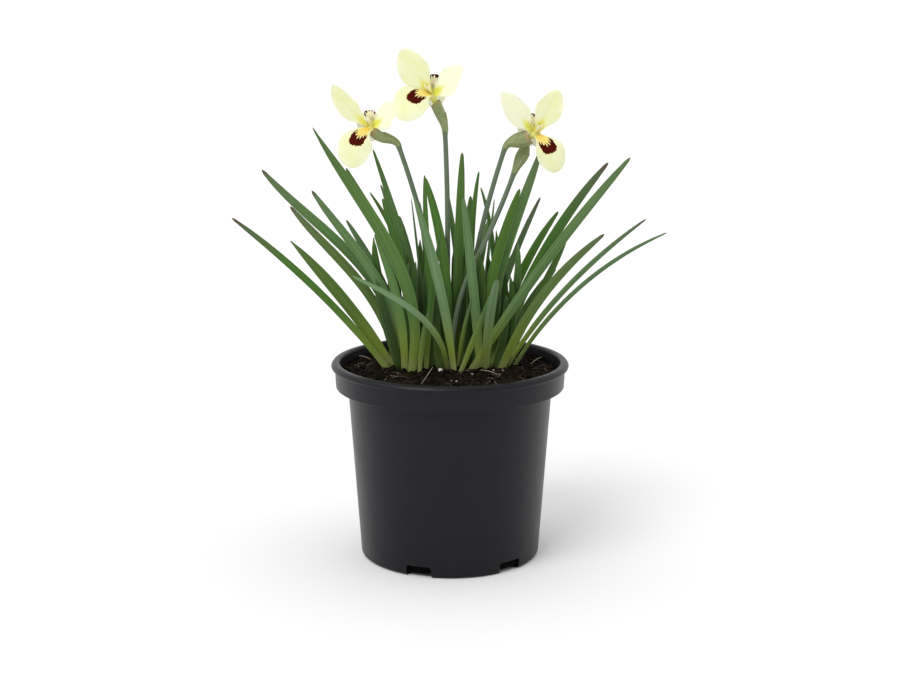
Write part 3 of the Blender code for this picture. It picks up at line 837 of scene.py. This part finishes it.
def read_blade(name):
    """The centres and the edge vectors (half a width long) of a leaf solid's rings, and its tip."""
    points = np.unique(np.array([v.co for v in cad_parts[name].data.vertices]) / MM, axis=0)
    root = points[np.argsort(points[:, 2])[:4]].mean(axis=0)
    tip = points[np.argmax(norm(points - root, axis=1))]
    order = np.argsort((points - root) @ unit(tip - root))
    rings = points[order][:-1].reshape(LEAF_FIRST_RINGS, 4, 3)
    edges, last = [], None
    for ring in rings:
        pairs = [ring[b] - ring[a] for a in range(4) for b in range(a + 1, 4)]
        if last is None:
            edge = max(pairs, key=norm)
        else:
            edge = max(pairs, key=lambda p: abs(np.dot(p, last)))
            edge = edge * copysign(1.0, np.dot(edge, last))
        last = unit(edge)
        edges.append(edge / 2.0)
    return rings.mean(axis=1), np.array(edges), tip


def spline(values, t):
    """A smooth curve through the values at a leaf's rings, and straight on below the first."""
    share = 1.0 - np.clip(t / LEAF_LAST_RING, None, 1.0)
    place = (1.0 - share ** (1.0 / LEAF_CROWDING)) * (LEAF_FIRST_RINGS - 1)
    k = np.clip(np.floor(place).astype(int), 0, LEAF_FIRST_RINGS - 2)
    f = (place - k)[:, None]
    padded = np.vstack([2 * values[0] - values[1], values, 2 * values[-1] - values[-2]])
    a, b, c, d = (padded[k + i] for i in range(4))
    return 0.5 * (2 * b + (c - a) * f + (2 * a - 5 * b + 4 * c - d) * f ** 2
                  + (3 * b - a - 3 * c + d) * f ** 3)


def blade_section():
    """Points round a blade's cross-section: across from -1 to 1, and height as a share of thickness."""
    across = np.sin(np.linspace(-0.5, 0.5, LEAF_ACROSS + 1) * pi)
    height = 0.22 + 0.55 * (1.0 - np.abs(across) ** 2.2) + 0.3 * np.exp(-(across / 0.13) ** 2)
    height[[0, -1]] = 0.0
    front = list(zip(across, height))
    back = [(s, -h) for s, h in front[-2:0:-1]]
    return np.array(front + back)


# the last field is the share of painted shade a leaf gets low in the clump
Look = namedtuple("Look", "tone wax foot dry olive deep")
WAXY = {4: 0.45, 6: 0.35, 7: 0.55, 8: 0.55, 11: 0.45, 16: 0.95, 17: 0.8, 20: 0.35, 21: 0.5, 26: 0.5,
        27: 0.5, 28: 0.6, 35: 1.0, 36: 0.45, 38: 0.35, 40: 0.45, 44: 0.45, 45: 0.5}
OLIVE = {2: 0.55, 3: 0.75, 9: 0.4, 12: 0.2, 24: 0.2, 36: 0.35, 37: 0.3, 42: 0.8, 46: 0.4}
DRY_TIPS = {1: 1.0, 3: 0.7, 4: 0.6, 7: 0.5, 12: 0.3, 38: 0.8, 40: 1.0, 42: 0.6, 43: 0.9, 44: 1.0}


def leaf_look(number, root_y, rng):
    """Colour of one leaf: some are waxy and grey-green, some olive, the rest plain green."""
    # painted shade: leaves rooted further back darken low down
    deep = 0.65 * float(ease((root_y - 3.0) / 18.0))
    wax = WAXY.get(number, rng.choice((0.0, 0.05, 0.1, 0.2)))
    dry = DRY_TIPS.get(number, rng.uniform(0.0, 0.35))
    return Look(rng.uniform(0.1, 0.9), wax, rng.uniform(0.45, 1.0), dry, OLIVE.get(number, 0.0), deep)


def add_blade(bm, look, t, line, sides, normals, lift, run, heights, back_u):
    """Adds a blade along the line. sides are half its width long, and lift is how far each point
    stands off its middle surface; the pattern runs along by run, moved by back_u on its back."""
    across, height = blade_section().T
    rings = [centre + np.outer(across, side) + np.outer(up, normal)
             for centre, side, up, normal in zip(line, sides, lift, normals)]
    widths = np.outer(norm(sides, axis=1), across) + np.where(height < 0.0, back_u, 0.0)
    uv = [[(u, along) for u in (*row, row[0])] for row, along in zip(widths, run)]
    shape = widths.shape
    values = {"along": np.broadcast_to(np.clip(t, 0.0, 1.0)[:, None], shape),
              "height": np.broadcast_to((heights - STEM_Z)[:, None], shape),
              "rim": np.broadcast_to(np.abs(across), shape)}
    values.update((key, np.full(shape, number)) for key, number in look._asdict().items())
    add_skin(bm, rings, uv, values)


def make_leaf(number, finish):
    """One long leaf along its solid, with a pointed tip, a slight curl and a wave to its faces."""
    name = f"leaf_{number:02d}"
    rng = random.Random(100 + number)
    ring_centres, edges, tip = read_blade(name)
    look = leaf_look(number, ring_centres[0][1], rng)
    length = norm(tip - ring_centres[0])
    lower = np.linspace(-LEAF_BURIED / length, LEAF_TIP_START, LEAF_STATIONS - LEAF_TIP_STATIONS)
    closer = (1.0 - np.linspace(0.1, 0.999, LEAF_TIP_STATIONS)) ** 1.6
    t = np.concatenate([lower, 1.0 - (1.0 - LEAF_TIP_START) * closer])
    beyond = np.clip((t - LEAF_LAST_RING) / (1.0 - LEAF_LAST_RING), 0.0, 1.0)
    centres = spline(ring_centres, t) + np.outer(beyond, tip - ring_centres[-1])
    sides = spline(edges, np.clip(t, 0.0, LEAF_LAST_RING))
    half = norm(sides, axis=1) * (1.0 - beyond ** 2) ** 0.7
    directions = directions_along(centres)
    sides = square_to(directions, sides)
    normals = np.cross(sides, directions)
    thick = LEAF_THICK * (1.0 - 0.55 * np.clip(t, 0, 1)) * (0.25 + 0.75 * (1.0 - beyond))

    across, height = blade_section().T
    curl = rng.uniform(-0.16, 0.16)
    wave = 0.25 * np.sin(rng.uniform(0.0, TURN) + 7.0 * t) * np.clip(4.0 * t, 0.0, 1.0)
    lift = np.outer(thick, height) + np.outer(curl * half, across ** 2 - 0.4) + wave[:, None]
    bm = bmesh.new()
    add_blade(bm, look, t, centres, sides * half[:, None], normals, lift, t * length, centres[:, 2],
              LEAF_BACK_U)
    finish_mesh("blade_" + name[-2:], bm, finish, [name])


def find_room(taken, rng):
    """A short inner leaf's line, in the thick of the clump and clear of every line in taken."""
    t = shares(INNER_POINTS)[:, None]
    for _ in range(INNER_TRIES):
        x, y, height = (rng.uniform(*limits) for limits in (INNER_X, INNER_Y, INNER_HEIGHT))
        root = np.array((x, y, STEM_Z))
        tip = np.array((x * rng.uniform(1.1, 1.5), y + rng.uniform(-4.0, 18.0), STEM_Z + height))
        bend = np.array((copysign(rng.uniform(-5.0, 0.0), x), 0.0, 0.0))
        line = root + t * (tip - root) + 4.0 * t * (1.0 - t) * bend
        gaps = norm(taken[:, None, :] - line[None, :, :], axis=2)
        if gaps.min() > INNER_CLEARANCE:
            return line


def make_inner_leaves(finish):
    """The clump's shorter leaves, between and behind the long ones."""
    rng = random.Random(77)
    lines = [spline(read_blade(f"leaf_{n:02d}")[0], np.linspace(0.0, 0.96, 40))
             for n in range(1, LEAF_COUNT + 1)]
    taken = np.vstack(lines + [stem_line(stalk, STEM_POINTS) for stalk in STALKS])
    height = blade_section()[:, 1]
    bm = bmesh.new()
    for _ in range(INNER_COUNT):
        line = find_room(taken, rng)
        if line is None:
            break
        taken = np.vstack([taken, line])
        directions, sides, _ = frames_along(line, BACK)
        turn = radians(rng.uniform(-30.0, 30.0))
        sides = sides * cos(turn) + np.cross(directions, sides) * sin(turn)
        normals = np.cross(sides, directions)
        t = shares(INNER_POINTS)
        half = 0.5 * INNER_WIDTH * np.sqrt(1.0 - 0.995 * np.clip((t - 0.5) / 0.5, 0.0, 1.0) ** 2)
        # the last value is the painted shade of an inner leaf
        look = Look(rng.uniform(0.0, 0.6), rng.choice((0.0, 0.1, 0.3)), rng.uniform(0.2, 0.6), 0.1,
                    rng.choice((0.0, 0.3)), rng.uniform(0.6, 0.95))
        centres = line.copy()
        centres[0] -= directions[0] * LEAF_BURIED
        lift = np.outer(1.0 - 0.6 * t, height * 0.5)
        add_blade(bm, look, t, centres, sides * half[:, None], normals, lift, line[:, 2], line[:, 2], 0.0)
    finish_mesh("inner_blades", bm, finish)


# ---- stems and spathes ----

def stem_line(stalk, count):
    return bezier(((*stalk.root, STEM_Z), stalk.low, stalk.high, stalk.top), count)


def spathe_line(stalk, flower):
    """The sheath's centre line, bent from the stem's direction to the flower tube's."""
    before, start = stem_line(stalk, 80)[-2:]
    end = np.array(stalk.mouth, float)
    reach = norm(end - start)
    bend_in = start + unit(start - before) * (reach * 0.35)
    bend_out = start + (end - start) * 0.6
    if flower:
        bend_out = end - unit(flower.centre - end) * (reach * 0.3)
    return bezier((start, bend_in, bend_out, end), SPATHE_POINTS)


def make_stem(stalk, finish):
    """A stalk, buried a little at its foot, and flared where it meets the spathe."""
    points = stem_line(stalk, STEM_POINTS)
    points[0] -= (points[1] - points[0]) * 1.5
    t = shares(STEM_POINTS)
    radii = STEM_R_BASE + (STEM_R_TOP - STEM_R_BASE) * t + 0.35 * ease((t - 0.97) / 0.03)
    rings, uv = tube_rings(points, radii, STEM_SIDES)
    wax = 0.15 + 0.5 * ease((t - 0.1) / 0.6)
    if stalk.name == "bud":
        wax += 0.25
    bm = bmesh.new()
    add_skin(bm, rings, uv, {"wax": np.repeat(wax[:, None], STEM_SIDES, axis=1)})
    finish_mesh("stalk_" + stalk.name, bm, finish, ["stem_" + stalk.name])


Bract = namedtuple("Bract", "start end slope back offset dry")


def spathe_radius(t, girth, closed):
    """The sheath's radius at a share of its length. A closed one tapers to a point."""
    base = STEM_R_TOP + 0.3
    if closed:
        swell = base + (girth - base) * ease(t / 0.5)
        return max(swell * (1.0 - ease((t - 0.62) / 0.38)), 0.4)
    return base + (girth - base) * ease(t / 0.7)


def add_bract(bm, line, girth, closed, bract):
    """One leafy scale rolled round the line, longest at its back and open in front."""
    _, sides, normals = frames_along(line, BACK)
    stations = shares(len(line))
    lengthwise = shares(BRACT_ROWS)
    across = np.linspace(-1.0, 1.0, BRACT_COLUMNS)

    def point(u, w, depth):
        t = bract.start + u * (bract.end - bract.start) * (1.0 - bract.slope * abs(w) ** 1.8)
        angle = radians(bract.back) + w * pi * BRACT_WRAP
        radius = spathe_radius(t, girth, closed) + bract.offset + BRACT_LAP * w - depth
        if depth > 0.0:
            radius += 0.6 * BRACT_THICK * ease((abs(w) - 0.9) / 0.1)
        centre, a, b = (np.array([np.interp(t, stations, column) for column in rows.T])
                        for rows in (line, sides, normals))
        return centre + max(radius, 0.15) * (cos(angle) * a + BRACT_FLAT * sin(angle) * b)

    def grid(value):
        return [[value(u, w) for w in across] for u in lengthwise]

    reach = norm(line[-1] - line[0])
    front, back = (grid(lambda u, w: point(u, w, depth)) for depth in (0.0, BRACT_THICK))
    uv = grid(lambda u, w: (w * BRACT_U, u * reach))
    edge = grid(lambda u, w: min(BRACT_U * (1.0 - abs(w)), (1.0 - u) * reach * 0.8 + 0.2))
    dry = grid(lambda u, w: bract.dry * ease((u - 0.72 + 0.1 * w) / 0.28))
    add_slab(bm, front, back, uv, {"edge": edge, "dry": dry})


BRACTS = {
    "left": (Bract(0.0, 0.66, 0.3, 80.0, 0.3, 0.0), Bract(0.1, 1.02, 0.16, 250.0, -0.15, 0.9)),
    "middle": (Bract(0.0, 0.62, 0.35, 60.0, 0.3, 0.1), Bract(0.1, 1.02, 0.12, 230.0, -0.15, 0.35)),
    "right": (Bract(0.0, 0.7, 0.35, 100.0, 0.3, 0.2), Bract(0.1, 1.03, 0.18, 270.0, -0.15, 1.0)),
    "bud": (Bract(0.0, 0.72, 0.3, 75.0, 0.3, 0.1), Bract(0.1, 1.0, 0.04, 250.0, -0.15, 0.3)),
}


def make_spathe(stalk, flower, finish):
    """The scales round a stalk's end. The one without a flower is still closed."""
    line = spathe_line(stalk, flower)
    line = np.vstack([line, line[-1] + (line[-1] - line[-2]) * 2.0])
    bm = bmesh.new()
    for bract in BRACTS[stalk.name]:
        add_bract(bm, line, stalk.girth, flower is None, bract)
    finish_mesh("bracts_" + stalk.name, bm, finish, ["spathe_" + stalk.name], 50)


# ---- flowers ----

def tepal_outline(t, outline):
    """Share of the full width along a petal: a narrow claw that widens to a blade with a round tip."""
    claw = outline.claw + (1.0 - outline.claw) * ease((t - outline.foot) / outline.widening)
    tip = np.clip((t - outline.tip) / (1.0 - outline.tip), 0.0, 1.0)
    return claw * (1.0 - tip ** outline.taper) ** outline.root


def make_tepal(name, flower, tepal, outer, blanched, rng, finish):
    """One petal: a clawed blade, cupped, creased along the middle and gently ruffled at its edge."""
    centre = np.array(flower.centre, float)
    t = 0.02 + 0.977 * (1.0 - (1.0 - shares(TEPAL_STATIONS)) ** 1.35)
    line = centre + np.outer(2.0 * t * (1.0 - t), tepal.bend) + np.outer(t * t, tepal.tip)
    directions = directions_along(line)
    sides = square_to(directions, np.array(tepal.side, float))
    normals = np.cross(sides, directions)
    if np.dot(normals[len(t) // 3], flower.facing) < 0.0:
        sides, normals = -sides, -normals
    half = 0.5 * tepal.width * tepal_outline(t, OUTER_OUTLINE if outer else INNER_OUTLINE)
    run = run_along(line) + 0.04 * norm(tepal.bend)

    s = np.sin(np.linspace(-0.5, 0.5, TEPAL_ACROSS + 1) * pi * 0.98) / sin(0.49 * pi)
    cup = rng.uniform(0.05, 0.12) * (-1.0 if outer else 1.0)
    if tepal.hooded:
        cup = HOOD_CUP
    phases = rng.uniform(0.0, TURN), rng.uniform(0.0, TURN)
    waves = rng.uniform(1.6, 2.4)
    front, back, uv = [], [], []
    for k, share in enumerate(t):
        left, right = (np.sin(phase + waves * TURN * share) for phase in phases)
        height = cup * half[k] * s ** 2
        height += 0.75 * np.abs(s) ** 3 * np.where(s < 0.0, left, right) * ease((share - 0.3) / 0.3)
        height -= 0.45 * np.exp(-(s * half[k] / 1.1) ** 2) * ease((0.95 - share) / 0.3)
        height += 0.05 * np.cos(s * 26.0) * (1.0 - s ** 2)
        thick = 0.5 * TEPAL_THICK * (0.25 + 0.75 * np.sqrt(np.clip(1.0 - s ** 2, 0.0, 1.0)))
        thick *= min(1.0, 0.6 + 3.0 * (1.0 - share))
        base = line[k] + np.outer(s * half[k], sides[k])
        front.append(base + np.outer(height + thick, normals[k]))
        back.append(base + np.outer(height - thick, normals[k]))
        uv.append([(x, run[k]) for x in s * half[k]])
    shape = (len(t), len(s))
    values = {"marked": np.full(shape, 1.0 if outer else 0.0),
              "blanched": np.full(shape, blanched),
              "throat": np.full(shape, 0.55 if outer else 0.9)}
    bm = bmesh.new()
    add_slab(bm, front, back, uv, values)
    finish_mesh(name, bm, finish, ["flower_" + flower.name])


def add_style_branch(bm, centre, axis, out):
    """One branch in two halves, side by side and parting at the top."""
    side = np.cross(axis, out)
    t = shares(STYLE_POINTS)
    s = np.linspace(-1.0, 1.0, STYLE_ACROSS)
    for fork in (-1.0, 1.0):
        lean = 1.7 * fork * ease((t - 0.45) / 0.55)
        line = (centre + np.outer(0.6 + 3.6 * np.sin(t * 1.8), out)
                + np.outer(0.5 + STYLE_RISE * t ** 1.15, axis) + np.outer(fork * 0.9 + lean, side))
        half = 1.9 * (0.55 + 0.6 * np.sin(pi * t ** 0.8)) * np.sqrt(1.0 - 0.97 * t ** 4)
        directions = directions_along(line)
        across = square_to(directions, side)
        normals = np.cross(across, directions)
        front, back = ([line[k] + np.outer(s * half[k], across[k]) + np.outer(height, normals[k])
                        for k in range(STYLE_POINTS)]
                       for height in (STYLE_THICK - 0.5 * s ** 2, -STYLE_THICK - 0.3 * s ** 2))
        uv = [[(w, 12.0 * u) for w in s] for u in t]
        add_slab(bm, front, back, uv, {"along": np.repeat(t[:, None], STYLE_ACROSS, axis=1)})


def make_style(flower, finish):
    """The tube and three upright cream style branches, each forked at its end."""
    centre = np.array(flower.centre, float)
    axis = unit(STYLE_LEAN * unit(flower.facing) + np.array(UP))
    mouth = np.array(next(stalk.mouth for stalk in STALKS if stalk.name == flower.name), float)
    tube = [mouth + (centre - mouth) * share for share in TUBE_SHARES] + [centre + axis * 2.5]
    rings, uv = tube_rings(tube, TUBE_RADII, TUBE_SIDES)
    bm = bmesh.new()
    add_skin(bm, rings, uv, {"along": np.zeros((len(tube), TUBE_SIDES))})
    for tepal in flower.outer:
        out = np.array(tepal.bend, float)
        add_style_branch(bm, centre, axis, unit(out - axis * np.dot(out, axis)))
    finish_mesh("style_" + flower.name, bm, finish, ["flower_" + flower.name], 60)


def make_flower(flower, petal, style):
    rng = random.Random(sum(ord(c) for c in flower.name))
    # painted light: the share of paler colour for each petal, most on those at the back in shade
    for kind, group, blanched in (("outer", flower.outer, (0.0, 1.0, 1.0)),
                                  ("inner", flower.inner, (0.0, SIDE_PAINTED_LIGHT, 1.0))):
        for k, (tepal, share) in enumerate(zip(group, blanched), 1):
            name = f"{flower.name}_{kind}_petal_{k}"
            make_tepal(name, flower, tepal, kind == "outer", share, rng, petal)
    make_style(flower, style)


# ---- stage ----

def make_floor():
    h = FLOOR_SIDE / 2.0
    mesh = bpy.data.meshes.new("floor")
    mesh.from_pydata([(-h, -h, 0), (h, -h, 0), (h, h, 0), (-h, h, 0)], [], [(0, 1, 2, 3)])
    f = Finish("floor", 0.1, {"Roughness": 0.9})
    f.colour(FLOOR_WHITE)
    mesh.materials.append(f.material)
    add_object("floor", mesh)


def make_world():
    """White light from all round: dimmer from behind the camera, except low on the horizon."""
    world = bpy.data.worlds.new("studio")
    world.use_nodes = True
    w = Nodes(world.node_tree)
    _, y, z = w.parts(w.place("Generated"))
    shade_inputs = dict(zip(("From Min", "From Max", "To Min", "To Max"), SKY_SHADE), Value=y)
    dimmed = w.node("MapRange", shade_inputs, interpolation_type="SMOOTHSTEP")[0]
    glow = {"Value": z, "From Min": HORIZON_GLOW[0], "From Max": HORIZON_GLOW[1]}
    horizon = w.node("MapRange", glow)[0]
    background = w.tree.nodes["Background"].inputs
    w.feed(background["Color"], (1.0, 1.0, 1.0))
    w.feed(background["Strength"], w.math("MAXIMUM", dimmed, horizon))
    bpy.context.scene.world = world


def make_camera_and_key():
    key = add_object("key", bpy.data.lights.new("key", "SUN"))
    key.data.energy = KEY_STRENGTH
    key.data.angle = radians(KEY_SOFTNESS)
    key.rotation_euler = [radians(a) for a in KEY_ANGLES]

    camera = add_object("camera", bpy.data.cameras.new("camera"))
    camera.data.lens = CAMERA_LENS
    camera.data.sensor_width = CAMERA_SENSOR
    camera.data.clip_end = CAMERA_FAR
    camera.location = CAMERA_PLACE
    camera.rotation_euler = (radians(CAMERA_PITCH), 0.0, 0.0)
    bpy.context.scene.camera = camera
    bpy.context.scene.view_settings.view_transform = "Standard"


def main():
    make_floor()
    make_world()
    make_camera_and_key()
    leaf, stem, bract = leaf_finish(), stem_finish(), bract_finish()
    petal, style = petal_finish(), style_finish()
    make_pot(pot_finish())
    peat = soil_finish()
    make_soil(peat)
    make_crumbs(peat)
    make_fibres(fibre_finish())
    make_perlite(perlite_finish())
    for number in range(1, LEAF_COUNT + 1):
        make_leaf(number, leaf)
    make_inner_leaves(leaf)
    flowers = {flower.name: flower for flower in FLOWERS}
    for stalk in STALKS:
        make_stem(stalk, stem)
        make_spathe(stalk, flowers.get(stalk.name), bract)
    for flower in FLOWERS:
        make_flower(flower, petal, style)


main()
bpy.context.view_layer.update()
